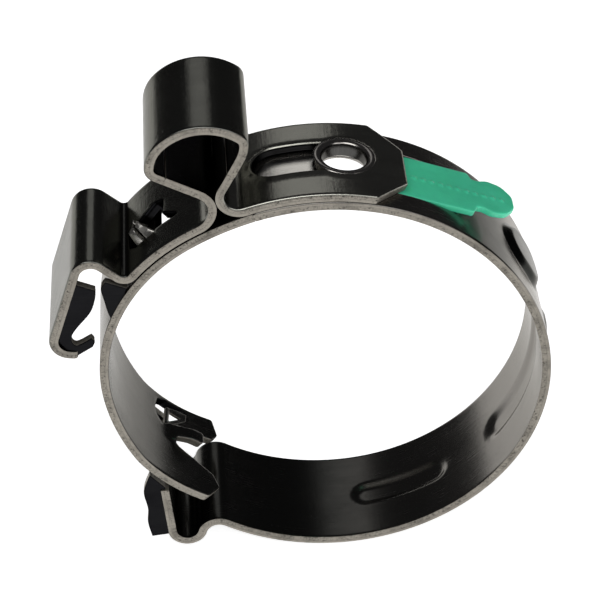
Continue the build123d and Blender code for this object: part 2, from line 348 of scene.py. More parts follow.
def sheet_mesh(name, outline, holes, place, profile, columns, rows, press=None, marks=None, flip=False,
               hole_kind=CUT, rim_kind=FACE):
    """A bent sheet with cut-outs. The flat outline and holes are meshed, thickened with the edge
    profile, pressed where beads are, and put in place by place(u, y, n). hole_kind and rim_kind are
    the material indexes of the holes' walls and of their rolled rims."""
    loops = [along(outline if area(outline) > 0 else outline[::-1], marks)]
    loops += [along(hole if area(hole) < 0 else hole[::-1], marks, 0.3) for hole in holes]
    normals = [inward(loop) for loop in loops]
    rings = []
    for inset, level in profile:
        rings.append([np.array(loop) + normal * inset for loop, normal in zip(loops, normals)])
    grid = np.array([(u, y) for u in columns for y in rows])
    grid = grid[inside(grid, loops)]
    grid = grid[margin(grid, loops) > GRID_MARGIN]

    half = profile[0][1]
    verts = [(u, y, level) for (inset, level), ring in zip(profile, rings) for loop in ring for u, y in loop]
    top_start = len(verts)
    verts += [(u, y, level) for level in (half, -half) for u, y in grid]
    bottom_start = top_start + len(grid)
    ring_size = sum(len(loop) for loop in loops)
    last_ring = ring_size * (len(profile) - 1)

    def on_side(triangle, ring_start, grid_start):
        return tuple(ring_start + v if v < ring_size else grid_start + v - ring_size for v in triangle)

    faces = [on_side(t, 0, top_start) for t in flat_triangles(rings[0], grid)]
    faces += [on_side(t, last_ring, bottom_start)[::-1] for t in flat_triangles(rings[-1], grid)]
    kinds = [FACE] * len(faces)
    for k in range(len(profile) - 1):
        first = k * ring_size
        rolled = is_rolled(profile[k], profile[k + 1])
        for loop_index, loop in enumerate(loops):
            if loop_index == 0:
                kind = FACE if rolled else CUT
            else:
                kind = rim_kind if rolled else hole_kind
            count = len(loop)
            for j in range(count):
                a, b = first + j, first + (j + 1) % count
                faces.append((a, a + ring_size, b + ring_size, b))
                kinds.append(kind)
            first += count
    if flip:
        faces = [f[::-1] for f in faces]

    lifts = [press(u, y, n) if press else 0.0 for u, y, n in verts]
    placed = [place(u, y, n + lift) for (u, y, n), lift in zip(verts, lifts)]
    flat_uv = [(u, y) for u, y, n in verts]
    depth = [n for u, y, n in verts]
    return new_mesh(name, placed, faces, kinds, flat_uv, depth, lifts)


def new_mesh(name, points, faces, kinds, flat_uv, depth, lifts=None):
    """An object whose mesh keeps what the materials need: where each point is on the flat blank, its
    depth in the sheet and how far it was pressed."""
    mesh = bpy.data.meshes.new(name)
    mesh.from_pydata([tuple(c * MM for c in p) for p in points], [], faces)
    mesh.validate()
    uv = mesh.uv_layers.new(name="flat")
    which = np.zeros(len(mesh.loops), np.int32)
    mesh.loops.foreach_get("vertex_index", which)
    coords = np.array(flat_uv, np.float32)[which]
    uv.data.foreach_set("uv", coords.ravel())
    level = mesh.attributes.new("depth", "FLOAT", "POINT")
    level.data.foreach_set("value", np.array(depth, np.float32))
    if lifts:
        lift = mesh.attributes.new("lift", "FLOAT", "POINT")
        lift.data.foreach_set("value", np.array(lifts, np.float32))
    mesh.polygons.foreach_set("material_index", np.array(kinds, np.int32))
    mesh.update()
    obj = bpy.data.objects.new(name, mesh)
    bpy.context.scene.collection.objects.link(obj)
    return obj


def finish_piece(obj, materials, angle=38.0):
    """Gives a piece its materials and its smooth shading."""
    for material in materials:
        obj.data.materials.append(material)
    for polygon in obj.data.polygons:
        polygon.use_smooth = True
    obj.data.set_sharp_from_angle(angle=radians(angle))


def join(name, objects, materials):
    """Several meshes as one piece, with their materials kept apart."""
    for part in objects:
        for material in materials:
            part.data.materials.append(material)
    with bpy.context.temp_override(active_object=objects[0], selected_editable_objects=objects):
        bpy.ops.object.join()
    objects[0].name = name
    return objects[0]


def spread(low, high, step):
    """Evenly spaced values from low to high, about a step apart."""
    count = max(1, round((high - low) / step))
    return [low + (high - low) * k / count for k in range(count + 1)]


# ---- materials ----
def node_tree(name):
    """A new material with its nodes and its main shader."""
    material = bpy.data.materials.new(name)
    material.use_nodes = True
    tree = material.node_tree
    shader = tree.nodes["Principled BSDF"]
    return material, tree, shader


def add(tree, kind, **values):
    """A new node with some of its settings."""
    node = tree.nodes.new(kind)
    for key, value in values.items():
        setattr(node, key, value)
    return node


def link(tree, source, target):
    tree.links.new(source, target)


def flat_coords(tree, scale):
    """Coordinates along and across the strip, in millimetres, stretched by scale."""
    uv = add(tree, "ShaderNodeUVMap", uv_map="flat")
    mapping = add(tree, "ShaderNodeMapping")
    mapping.inputs["Scale"].default_value = scale
    link(tree, uv.outputs["UV"], mapping.inputs["Vector"])
    return mapping.outputs["Vector"]


def along_strip(tree):
    """Length along the strip."""
    split = add(tree, "ShaderNodeSeparateXYZ")
    link(tree, flat_coords(tree, (1.0, 1.0, 1.0)), split.inputs["Vector"])
    return split.outputs["X"]


def off_middle(tree):
    """Distance from the strip's middle line."""
    split = add(tree, "ShaderNodeSeparateXYZ")
    link(tree, flat_coords(tree, (1.0, 1.0, 1.0)), split.inputs["Vector"])
    return combine(tree, "ABSOLUTE", split.outputs["Y"], 0.0)


def attribute(tree, name):
    """A number that every point of the mesh carries."""
    return add(tree, "ShaderNodeAttribute", attribute_name=name).outputs["Fac"]


def noise_at(tree, vector, scale, detail, rough):
    """Soft noise between 0 and 1."""
    node = add(tree, "ShaderNodeTexNoise")
    node.inputs["Scale"].default_value = scale
    node.inputs["Detail"].default_value = detail
    node.inputs["Roughness"].default_value = rough
    link(tree, vector, node.inputs["Vector"])
    return node.outputs["Fac"]


def remap(tree, value, low, high, to_low, to_high):
    """A value moved from one range to another and held between its ends."""
    node = add(tree, "ShaderNodeMapRange")
    for key, number in (("From Min", low), ("From Max", high), ("To Min", to_low), ("To Max", to_high)):
        node.inputs[key].default_value = number
    link(tree, value, node.inputs["Value"])
    return node.outputs["Result"]


def combine(tree, operation, a, b):
    """A math node; a and b are numbers or outputs of other nodes."""
    node = add(tree, "ShaderNodeMath", operation=operation)
    for socket, value in zip(node.inputs, (a, b)):
        if isinstance(value, (int, float)):
            socket.default_value = value
        else:
            link(tree, value, socket)
    return node.outputs["Value"]


def weighted(tree, a, a_share, b, b_share):
    """The sum of two values, each times its share."""
    first = combine(tree, "MULTIPLY", a, a_share)
    second = combine(tree, "MULTIPLY", b, b_share)
    return combine(tree, "ADD", first, second)


def mix(tree, share, a, b):
    """A colour between two others, which are numbers or outputs of other nodes."""
    node = add(tree, "ShaderNodeMix", data_type="RGBA")
    link(tree, share, node.inputs["Factor"])
    for name, value in (("A", a), ("B", b)):
        socket = [s for s in node.inputs if s.name == name and s.type == "RGBA"][0]
        if isinstance(value, tuple):
            socket.default_value = (*value, 1.0)
        else:
            link(tree, value, socket)
    return [s for s in node.outputs if s.type == "RGBA"][0]


def bump(tree, shader, height, distance):
    """Tilts the shader's normal by a height between 0 and 1, times a distance in metres."""
    node = add(tree, "ShaderNodeBump")
    node.inputs["Distance"].default_value = distance
    node.inputs["Strength"].default_value = 1.0
    link(tree, height, node.inputs["Height"])
    link(tree, node.outputs["Normal"], shader.inputs["Normal"])


def strip_steel(name, colour, dark, rough_low, rough_high, tones=(), bead_shade=None, underside_shade=None,
                edge_tint=0.62, lines=0.5):
    """Cold-rolled spring strip: fine lines along the rolling direction, soft stains, a few scratches.
    tones holds (start, end, colour): painted highlights and painted shade, which change the colour between
    two lengths along the strip. A fourth number keeps that change within a distance of the strip's middle
    line.
    bead_shade is painted shade: a near-black colour for the outer face of the pressed beads. underside_shade
    is painted shade on the strap's underside, which is also the inside of its loop.
    edge_tint is the strength of reflections at a grazing view, and lines the depth of the marks that
    the bending tools leave across the strip."""
    material, tree, shader = node_tree(name)
    grain = noise_at(tree, flat_coords(tree, (0.05, 3.0, 1.0)), 2.6, 5.0, 0.62)
    stains = noise_at(tree, flat_coords(tree, (0.6, 1.0, 1.0)), 0.28, 4.0, 0.6)
    forming = noise_at(tree, flat_coords(tree, (2.4, 0.07, 1.0)), 1.0, 4.0, 0.6)
    mottle = noise_at(tree, flat_coords(tree, (1.0, 0.6, 1.0)), 1.7, 3.0, 0.6)
    scuffs = noise_at(tree, flat_coords(tree, (0.9, 0.22, 1.0)), 1.7, 6.0, 0.7)
    scratch = remap(tree, scuffs, 0.66, 0.74, 0.0, 1.0)
    tone = weighted(tree, grain, 0.45, stains, 0.55)
    colour_out = mix(tree, remap(tree, tone, 0.36, 0.66, 0.0, 1.0), dark, colour)
    length = along_strip(tree)
    # painted highlight and painted shade along the strip, from the tones list
    for start, end, tone_colour, *half_width in tones:
        reach = remap(tree, length, start, end, 0.0, 1.0)
        if half_width:
            near_middle = remap(tree, off_middle(tree), half_width[0] + 0.6, half_width[0], 0.0, 1.0)
            reach = combine(tree, "MULTIPLY", reach, near_middle)
        uneven = weighted(tree, reach, 0.85, stains, 0.3)
        colour_out = mix(tree, combine(tree, "MULTIPLY", reach, uneven), colour_out, tone_colour)
    depth = attribute(tree, "depth")
    # painted shade: the beads' raised outer face is given a near-black colour
    if bead_shade:
        outer = remap(tree, depth, 0.0, 0.4, 0.0, 1.0)
        raised = combine(tree, "MULTIPLY", remap(tree, attribute(tree, "lift"), 0.004, 0.06, 0.0, 1.0), outer)
        colour_out = mix(tree, raised, colour_out, bead_shade)
    # painted shade: the strap's underside and the inside of its loop turn near-black
    if underside_shade:
        colour_out = mix(tree, remap(tree, depth, 0.1, 0.45, 0.0, 1.0), colour_out, underside_shade)
    link(tree, colour_out, shader.inputs["Base Color"])
    blend = weighted(tree, grain, 0.5, stains, 0.5)
    roughness = remap(tree, blend, 0.35, 0.68, rough_low, rough_high)
    roughness = combine(tree, "ADD", roughness, combine(tree, "MULTIPLY", scratch, 0.1))
    link(tree, roughness, shader.inputs["Roughness"])
    shader.inputs["Metallic"].default_value = 1.0
    shader.inputs["Specular Tint"].default_value = (edge_tint, 0.985 * edge_tint, 0.955 * edge_tint, 1.0)
    height = weighted(tree, grain, 0.6, stains, 2.2)
    pressed = weighted(tree, forming, lines, mottle, 1.4 * lines)
    bump(tree, shader, combine(tree, "ADD", height, pressed), 0.000006)
    return material


def cut_edge(name, colour, dark):
    """The blanked edge: a burnished band with a dark line below it, then the torn fracture band, with
    fine upright lines from the punch, specks and stains."""
    material, tree, shader = node_tree(name)
    depth = attribute(tree, "depth")
    place = add(tree, "ShaderNodeCombineXYZ")
    link(tree, along_strip(tree), place.inputs["X"])
    link(tree, combine(tree, "MULTIPLY", depth, 0.3), place.inputs["Z"])
    coords = add(tree, "ShaderNodeTexCoord").outputs["Object"]
    lines = noise_at(tree, place.outputs["Vector"], 7.0, 3.0, 0.6)
    speck = noise_at(tree, coords, 3300.0, 3.0, 0.7)
    broad = noise_at(tree, coords, 360.0, 4.0, 0.65)
    sway = combine(tree, "MULTIPLY", combine(tree, "SUBTRACT", broad, 0.5), 0.5)
    wander = combine(tree, "ADD", depth, sway)
    torn = remap(tree, wander, 0.12, 0.02, 0.0, 1.0)
    from_seam = combine(tree, "ABSOLUTE", combine(tree, "SUBTRACT", wander, 0.1), 0.0)
    seam = remap(tree, from_seam, 0.02, 0.08, 0.2, 0.0)
    speck_strength = remap(tree, torn, 0.0, 1.0, 0.3, 0.9)
    specks = combine(tree, "MULTIPLY", remap(tree, speck, 0.54, 0.68, 0.0, 1.0), speck_strength)
    stains = remap(tree, broad, 0.46, 0.72, 0.0, 0.45)
    line_strength = remap(tree, torn, 0.0, 1.0, 0.35, 1.0)
    fine = combine(tree, "MULTIPLY", remap(tree, lines, 0.42, 0.66, 0.0, 0.4), line_strength)
    shade = combine(tree, "ADD", combine(tree, "ADD", specks, stains), combine(tree, "ADD", fine, seam))
    link(tree, mix(tree, shade, colour, dark), shader.inputs["Base Color"])
    link(tree, remap(tree, shade, 0.0, 1.0, 0.4, 0.7), shader.inputs["Roughness"])
    shader.inputs["Metallic"].default_value = 0.7
    height = weighted(tree, speck, torn, lines, 0.6)
    bump(tree, shader, height, 0.00005)
    return material


def tab_plastic(name):
    """Satin moulded plastic with a faint mottle and slight translucence."""
    material, tree, shader = node_tree(name)
    coords = add(tree, "ShaderNodeTexCoord").outputs["Object"]
    mottle = noise_at(tree, coords, 260.0, 4.0, 0.6)
    fine = noise_at(tree, coords, 3200.0, 2.0, 0.5)
    share = remap(tree, mottle, 0.35, 0.65, 0.0, 1.0)
    link(tree, mix(tree, share, (0.078, 0.74, 0.43), (0.095, 0.84, 0.50)), shader.inputs["Base Color"])
    link(tree, remap(tree, fine, 0.3, 0.7, 0.34, 0.48), shader.inputs["Roughness"])
    shader.inputs["Subsurface Weight"].default_value = 0.15
    shader.inputs["Subsurface Radius"].default_value = (0.0004, 0.0012, 0.0008)
    shader.inputs["Subsurface Scale"].default_value = 1.0
    bump(tree, shader, fine, 0.000015)
    return material


# painted highlight: a near-white colour on the band under the strap's slot and at the tongue's start, so the
# reflection there shows bright
PAINTED_HIGHLIGHT = (0.95, 0.92, 0.85)
# painted shade: a near-black colour that darkens stretches of the band
PAINTED_SHADE = (0.058, 0.058, 0.054)
BAND_GREY = (0.215, 0.203, 0.187)
STEEL = ((0.26, 0.245, 0.225), (0.17, 0.16, 0.147))
# where each painted highlight and painted shade starts and is reached, as lengths along the strip
band_tones = [
    (9.5, 7.5, PAINTED_HIGHLIGHT, 4.0),
    (26.0, 29.0, PAINTED_SHADE),
    (33.5, 37.5, BAND_GREY),
    (right_u(-5.0), right_u(-92.0), PAINTED_SHADE),
]
# the beads' outer face is painted near-black as shade
band_face = strip_steel("band_face", *STEEL, 0.19, 0.3, band_tones,
                        bead_shade=(0.028, 0.029, 0.027), edge_tint=0.85)
# the tongue: a painted highlight at its start, then painted shade that darkens it along its length
tongue_tones = [(2.0, 0.0, PAINTED_HIGHLIGHT), (4.0, 46.0, (0.085, 0.083, 0.078))]
tongue_face = strip_steel("tongue_face", *STEEL, 0.19, 0.3, tongue_tones, edge_tint=0.74)
# painted shade: a darker colour for the strap past its foot, over its loop and lever
STRAP_SHADE = (0.148, 0.149, 0.134)
saddle_end, crease_end = strap_path.breaks[12:14]
# painted highlight and painted shade along the strap: its lighter base colour holds on the foot, it darkens
# from the foot's end on, turns near-black over the crease after the saddle, then goes back to the darker
# colour
strap_tones = [
    (18.0, 30.0, STRAP_SHADE),
    (saddle_end - 0.5, saddle_end + 0.1, (0.05, 0.05, 0.048)),
    (crease_end - 0.1, crease_end + 0.5, STRAP_SHADE),
]
# the strap's underside, which is the inside of its loop, is painted near-black as shade
strap_face = strip_steel("strap_face", (0.355, 0.35, 0.31), (0.26, 0.257, 0.228), 0.17, 0.27,
                         strap_tones, underside_shade=(0.045, 0.045, 0.047), lines=2.0)
# painted shade: near-black steel for the folded ears and for the walls and rims of holes
shade_steel = strip_steel("shade_steel", (0.014, 0.014, 0.015), (0.008, 0.008, 0.009), 0.26, 0.4, edge_tint=0.2)
# painted highlight: the lanced claws are given a lighter colour than the strap they are cut from
claw_highlight = strip_steel("claw_highlight", (0.42, 0.41, 0.38), (0.30, 0.29, 0.27), 0.25, 0.35)
edge_steel = cut_edge("blanked_edge", (0.282, 0.26, 0.222), (0.07, 0.064, 0.054))
rivet_face = strip_steel("rivet_face", (0.42, 0.40, 0.37), (0.30, 0.285, 0.27), 0.16, 0.24)
# painted shade: the rivet's bore is given a darker copy of its steel
bore_shade = strip_steel("bore_shade", (0.09, 0.088, 0.085), (0.05, 0.049, 0.047), 0.2, 0.32)
tab_green = tab_plastic("tab_green")

# ---- edge profiles and beads ----
EDGE_PROFILE = blanked_profile(HALF, 0.03)
STRAP_PROFILE = upside_down(blanked_profile(HALF, 0.03, 0.27))
COINED_PROFILE = upside_down(blanked_profile(HALF, 0.03, 0.42))


def bead(u, y, start, end, middle, width, depth, flank):
    """Height of a pressed bead: flat along its middle, with rounded flanks and round ends."""
    beyond = max(start + width / 2 - u, u - end + width / 2, 0.0)
    return depth * smooth((width / 2 - hypot(beyond, y - middle)) / flank + 0.5)


# ---- the band's right half, with the closing arm ----
# each bead's start, end, middle line, width, depth and flank, as bead() takes them
RIGHT_BEADS = [
    (right_u(36.8), right_u(20.0), 0.3, 7.0, 0.8, 1.6),
    (right_u(9.0), right_u(-36.0), 0.0, 3.4, 0.45, 1.6),
    (right_u(-54.0), right_u(-82.0), 0.0, 3.4, 0.49, 1.5),
]


def press_right(u, y, n):
    """The beads of the right half, all raised on its outer face."""
    return sum(bead(u, y, *sizes) for sizes in RIGHT_BEADS)


marks = right_path.stations(0, right_path.length)
eyelet_u = right_u(EYELET_ANGLE)
tab_u = right_u(TAB_ANGLE)
right_outline = [(0, -EDGE), (right_path.length, -EDGE), (right_path.length, EDGE), (0, EDGE)]
window_start = tab_u - TAB_WINDOW_BACK
window_end = tab_u + TAB_WINDOW_FRONT
tab_window = [(window_start, -4.48), (window_end, -4.22), (window_end, 4.45), (window_start, 4.45)]
right_holes = [circle(eyelet_u, 0, RIVET_HOLE, 48), rounded(tab_window, 0.3)]
# the mesh is finer around the first bead, which is deep and wide
deep_start, deep_end = RIGHT_BEADS[0][0] - 0.8, RIGHT_BEADS[0][1] + 0.8
columns = [m for m in marks if not deep_start - 0.15 < m < deep_end + 0.15]
columns += spread(deep_start, deep_end, 0.22)
rows = spread(-7.5, -5.1, 0.45) + spread(-4.8, 5.7, 0.25) + spread(6.0, 7.5, 0.45)
# the band's hole walls are painted near-black as shade
band_right = sheet_mesh("band_right", right_outline, right_holes, right_path.place, EDGE_PROFILE,
                        columns, rows, press_right, marks, flip=True, hole_kind=SHADE)
finish_piece(band_right, [band_face, edge_steel, shade_steel])

# ---- the band's left half: the inner tongue with its forked tip ----
marks = left_path.stations(0, left_path.length)
tip = left_path.length


def from_tip(points):
    """Points whose lengths are given from the tongue's tip."""
    return [(tip + u, y) for u, y in points]


near_prong = from_tip([(-1.8, -EDGE), (0, -5.6), (-1.0, -3.4), (-3.9, -1.6), (-7.2, -0.2), (-7.6, 0.5)])
finger = from_tip([(-3.5, 0.4), (-3.5, 2.5), (-6.9, 2.6), (-6.7, 3.8)])
far_prong = from_tip([(-1.0, 3.8), (0, 4.9), (-0.8, EDGE)])
tongue_outline = rounded([(0, -EDGE), *near_prong, *finger, *far_prong, (0, EDGE)],
                         [0, 0.8, 0.5, 0.6, 1.0, 0.2, 0.3, 0.6, 0.6, 0.4, 0.4, 0.6, 0.6, 0.6, 0])
fork_hole = from_tip([(-10.9, 4.8), (-10.5, 3.3), (-9.6, 2.3), (-8.2, 2.9), (-6.6, 4.6), (-5.4, 5.6),
                      (-5.5, 7.1), (-9.0, 7.2), (-10.4, 6.6)])
saddle_hole = [(9.9, -1.1), (13.6, -1.1), (13.6, 3.7), (9.9, 3.7)]
tongue_holes = [rounded(fork_hole, 0.35), rounded(saddle_hole, 0.5)]
CURL_LENGTH = 13.4             # the fork curls inward over this length
CURL_DEPTH = 1.8
FINGER_MIDDLE = 1.45
FINGER_DEPTH = 1.5             # how much further in the finger stands than the prongs


def tip_curl(u):
    """How far the fork has curled inward at a length along the tongue."""
    return CURL_DEPTH * max((u - tip + CURL_LENGTH) / CURL_LENGTH, 0.0) ** 1.3


def press_tongue(u, y, n):
    """The fork curls inward and its finger stands further in."""
    finger_part = smooth((1.9 - abs(y - FINGER_MIDDLE)) / 0.7) * smooth((u - tip + 9.4) / 4.5)
    return tip_curl(u) + FINGER_DEPTH * finger_part


tongue_rows = spread(-7.5, -3.9, 0.55) + spread(-3.4, 3.4, 0.32) + spread(3.9, 7.5, 0.55)
# the tongue's hole walls and rims are painted near-black as shade
band_left = sheet_mesh("band_left", tongue_outline, tongue_holes, left_path.place, EDGE_PROFILE,
                       marks, tongue_rows, press_tongue, marks, flip=True, hole_kind=SHADE, rim_kind=SHADE)


def on_fork(u, y, n):
    """The claw lies across the fork's hole, level with its inner face."""
    return left_path.place(u, y, n + 0.45 + tip_curl(u))


claw_outline = from_tip([(-9.3, 2.2), (-7.4, 3.4), (-5.4, 5.2), (-5.2, 6.6), (-6.4, 6.7), (-8.9, 6.0)])
claw_hole = from_tip([(-8.5, 3.3), (-6.2, 5.3), (-8.3, 5.4)])
claw_profile = blanked_profile(0.25, 0.02, 0.1)
claw_columns = spread(tip - 9.0, tip - 5.4, 0.4)
claw_rows = spread(2.4, 6.4, 0.4)
tip_claw = sheet_mesh("tip_claw", rounded(claw_outline, 0.2), [rounded(claw_hole, 0.1)], on_fork,
                      claw_profile, claw_columns, claw_rows, flip=True)
band_left = join("band_left", [band_left, tip_claw], [tongue_face, edge_steel, shade_steel])
finish_piece(band_left, [])

# ---- the spring strap ----
foot_end = strap_path.breaks[2] + 2.5
crown_end = strap_path.breaks[8] + 1.2
marks = strap_path.stations(0, strap_path.length)
strap_rows = spread(-7.4, 7.4, 0.6)
keyhole_u = STRAP_RADIUS * radians(EYELET_ANGLE - STRAP_END_ANGLE)
SLOT_HALF = 2.9
slot_end = keyhole_u + 8.6
entry = degrees(atan2(SLOT_HALF, sqrt(RIVET_HOLE ** 2 - SLOT_HALF ** 2)))
keyhole = circle(keyhole_u, 0, RIVET_HOLE, 40, entry, 360 - entry)
keyhole += circle(slot_end, 0, SLOT_HALF, 20, -90, 90)
foot_outline = rounded([(0, -3.6), (4.3, -EDGE), (foot_end, -EDGE), (foot_end, EDGE), (4.3, EDGE), (0, 3.6)],
                       [0.5, 0.6, 0, 0, 0.6, 0.5])
RING_RIM = 0.35                # height of the coined rim round the keyhole
FOOT_THROAT = 24.4             # where the loop's two feet come closest, as lengths along the strap
SADDLE_THROAT = 58.3
THROAT_BULGE = 0.125


def close_throat(u, middle):
    """The loop's two feet are bent a little closer together than in the CAD, so no light shows through."""
    return THROAT_BULGE * exp(-((u - middle) / 1.6) ** 2)


def press_foot(u, y, n):
    """The keyhole's margin is coined up into a low bright lip, and the loop's first foot bulges."""
    outside = hypot(u - keyhole_u, y) - RIVET_HOLE
    if u > slot_end:
        outside = min(outside, hypot(u - slot_end, y) - SLOT_HALF)
    elif u > keyhole_u:
        outside = min(outside, abs(y) - SLOT_HALF)
    return close_throat(u, FOOT_THROAT) - RING_RIM * exp(-(max(outside, 0.0) / 0.55) ** 2)


def press_lever(u, y, n):
    """The loop's second foot bulges towards the first."""
    return close_throat(u, SADDLE_THROAT)


foot_columns = [m for m in marks if m < foot_end]
# the keyhole's walls are painted near-black as shade
strap_foot = sheet_mesh("strap_foot", foot_outline, [keyhole], strap_path.place, COINED_PROFILE,
                        foot_columns, strap_rows, press_foot, marks, flip=True, hole_kind=SHADE)
finish_piece(strap_foot, [strap_face, edge_steel, shade_steel])
crown_outline = [(foot_end, -EDGE), (crown_end, -EDGE), (crown_end, EDGE), (foot_end, EDGE)]
crown_columns = [m for m in marks if foot_end < m < crown_end]
strap_crown = sheet_mesh("strap_crown", crown_outline, [], strap_path.place, STRAP_PROFILE,
                         crown_columns, strap_rows, None, marks, flip=True)
finish_piece(strap_crown, [strap_face, edge_steel])
lever_end = strap_path.length
lip_end = lever_end - LIP_REACH - 0.1      # where the lip ends, apart from its near corner
lip_corner = [(lever_end, -EDGE), (lever_end, -6.2), (lip_end, -5.9)]
lever_outline = rounded([(crown_end, -EDGE), *lip_corner, (lip_end, EDGE), (crown_end, EDGE)],
                        [0, 0.6, 0.6, 0.4, 0.6, 0])
saddle_window_near = [(-8.5, -3.1), (-4.9, -3.2), (-4.5, -3.7), (-1.6, -3.7), (-0.5, -2.8)]
saddle_window_far = [(-0.3, 0.6), (-3.3, 1.2), (-5.1, 2.1), (-6.2, 1.6), (-6.0, -1.0)]
saddle_window = [(saddle_end + u, y) for u, y in saddle_window_near + saddle_window_far]
lever_holes = [rounded(saddle_window, 0.35)]
lever_columns = [m for m in marks if m > crown_end]
# the saddle window's walls and rims are painted near-black as shade
strap_lever = sheet_mesh("strap_lever", lever_outline, lever_holes, strap_path.place, STRAP_PROFILE,
                         lever_columns, strap_rows, press_lever, marks, flip=True, hole_kind=SHADE,
                         rim_kind=SHADE)


# ---- ears: flanges folded square to the strips, inside both edges ----
EAR_OUTER = EDGE - 0.25


def ear(name, outline, side):
    """A side plate in the x-z view, on the near (-1) or far (+1) edge."""
    middle = side * (EAR_OUTER - HALF)

    def place(x, z, n):
        return (x, middle + n * side, z)

    low = [min(p[k] for p in outline) for k in (0, 1)]
    high = [max(p[k] for p in outline) for k in (0, 1)]
    return sheet_mesh(name, outline, [], place, EDGE_PROFILE, spread(low[0], high[0], 0.6),
                      spread(low[1], high[1], 0.6), flip=side < 0)


def curve_through(points, count=6):
    """A smooth open line through points."""
    made = []
    for k in range(len(points) - 1):
        p0 = Vector(points[max(k - 1, 0)])
        p1, p2 = Vector(points[k]), Vector(points[k + 1])
        p3 = Vector(points[min(k + 2, len(points) - 1)])
        for j in range(count):
            t = j / count
            made.append(tuple(0.5 * ((2 * p1) + (p2 - p0) * t + (2 * p0 - 5 * p1 + 4 * p2 - p3) * t * t
                                     + (3 * p1 - p0 - 3 * p2 + p3) * t ** 3)))
    return made + [tuple(points[-1])]


latch_shoulder = [(-30.35, 16.4), (-30.5, 15.0), (-31.2, 12.9)]
latch_notch = [(-33.0, 10.5), (-33.75, 9.2), (-33.75, 8.2), (-33.3, 7.7), (-32.6, 7.95)]
latch_tip = curve_through([(-31.3, 8.8), (-30.9, 8.1), (-31.2, 7.3)])
latch_back = [(-33.2, 5.95), (-34.2, 6.2), (-35.6, 8.4), (-33.7, 15.9), (-33.1, 17.6)]
latch_ear = curve_through(latch_shoulder + latch_notch) + latch_tip + latch_back
far_latch_ear = latch_shoulder + [(-33.2, 10.9), (-34.1, 10.4), (-33.0, 16.0), (-32.7, 18.1)]
latch_ears = [ear("latch_ear_near", latch_ear, -1), ear("latch_ear_far", rounded(far_latch_ear, 0.4), 1)]


def repaint(parts, face_kind, wall_kind):
    """Sets the material indexes that small parts have in the piece they are joined to."""
    for part in parts:
        for polygon in part.data.polygons:
            polygon.material_index = face_kind if polygon.material_index == FACE else wall_kind


def claw(name, u, y, lean, turn, outline):
    """A small lanced tab standing on the saddle window's margin; its outline is (across, up) pairs.
    lean tips it back over the window and turn swings it about its own root."""
    x, z, angle = strap_path.at(u)
    origin = Vector((x, y, z))
    lengthwise = Vector((cos(angle), 0, sin(angle)))
    up = Vector((sin(angle), 0, -cos(angle)))
    side = Vector((0, 1, 0))
    across = lengthwise * cos(radians(turn)) + side * sin(radians(turn))
    square = across.cross(up).normalized()
    rise = up * cos(radians(lean)) + square * sin(radians(lean))
    facing = across.cross(rise).normalized()

    def place(a, b, n):
        bent = 0.12 * b * b
        p = origin + across * a + rise * b + facing * (n + bent)
        return tuple(p)

    low = [min(q[k] for q in outline) for k in (0, 1)]
    high = [max(q[k] for q in outline) for k in (0, 1)]
    return sheet_mesh(name, rounded(outline, 0.25), [], place, blanked_profile(0.3, 0.02, 0.12),
                      spread(low[0], high[0], 0.3), spread(low[1], high[1], 0.3))


left_claw = [(-0.75, -0.5), (0.75, -0.5), (0.5, 2.3), (-0.5, 2.3)]
middle_claw = [(-0.9, -0.5), (0.8, -0.5), (0.9, 2.4), (0.3, 2.8)]
far_claw = [(-1.3, -0.5), (1.3, -0.5), (1.1, 0.8), (-0.6, 1.6)]
claws = [
    claw("claw_left", saddle_end - 2.3, -3.6, 8.0, 6.0, left_claw),
    claw("claw_middle", saddle_end - 4.1, -3.5, 20.0, -14.0, middle_claw),
    claw("claw_far", saddle_end - 1.5, 0.45, -10.0, 14.0, far_claw),
]
# the latch ears' faces take the near-black painted shade, and the claws the lighter painted highlight
repaint(latch_ears, SHADE, CUT)
repaint(claws, CLAW, CLAW)
lever_parts = [strap_lever, *latch_ears, *claws]
strap_lever = join("strap_lever", lever_parts, [strap_face, edge_steel, shade_steel, claw_highlight])
finish_piece(strap_lever, [])

hook_ear = curve_through([(-24.85, -15.2), (-25.75, -18.2), (-25.3, -21.4), (-25.4, -23.9), (-24.9, -26.5)])
hook_ear += [(-22.0, -26.1), (-22.8, -17.55)]
hook_ears = [ear("hook_ear_near", hook_ear, -1), ear("hook_ear_far", hook_ear, 1)]
# the hook ears are painted near-black as shade
hook_ears = join("hook_ears", hook_ears, [shade_steel, edge_steel])
finish_piece(hook_ears, [])

lug = curve_through([(-29.1, 17.7), (-29.7, 16.6), (-29.35, 14.5), (-28.95, 12.6), (-28.2, 10.6)])
lug += [(-27.9, 10.8), (-26.4, 16.6)]
# the lugs are painted near-black as shade
lugs = join("tongue_lugs", [ear("lug_near", lug, -1), ear("lug_far", lug, 1)], [shade_steel, edge_steel])
finish_piece(lugs, [])


# ---- the hollow rivet ----
def radial_frame(centre, radius, angle):
    """Origin, clockwise tangent and outward direction at an angle of the ring, in the x-z view."""
    x, z = on_circle(centre, radius, angle)
    out = Vector((cos(radians(angle)), 0, sin(radians(angle))))
    return Vector((x, 0, z)), Vector((out.z, 0, -out.x)), out


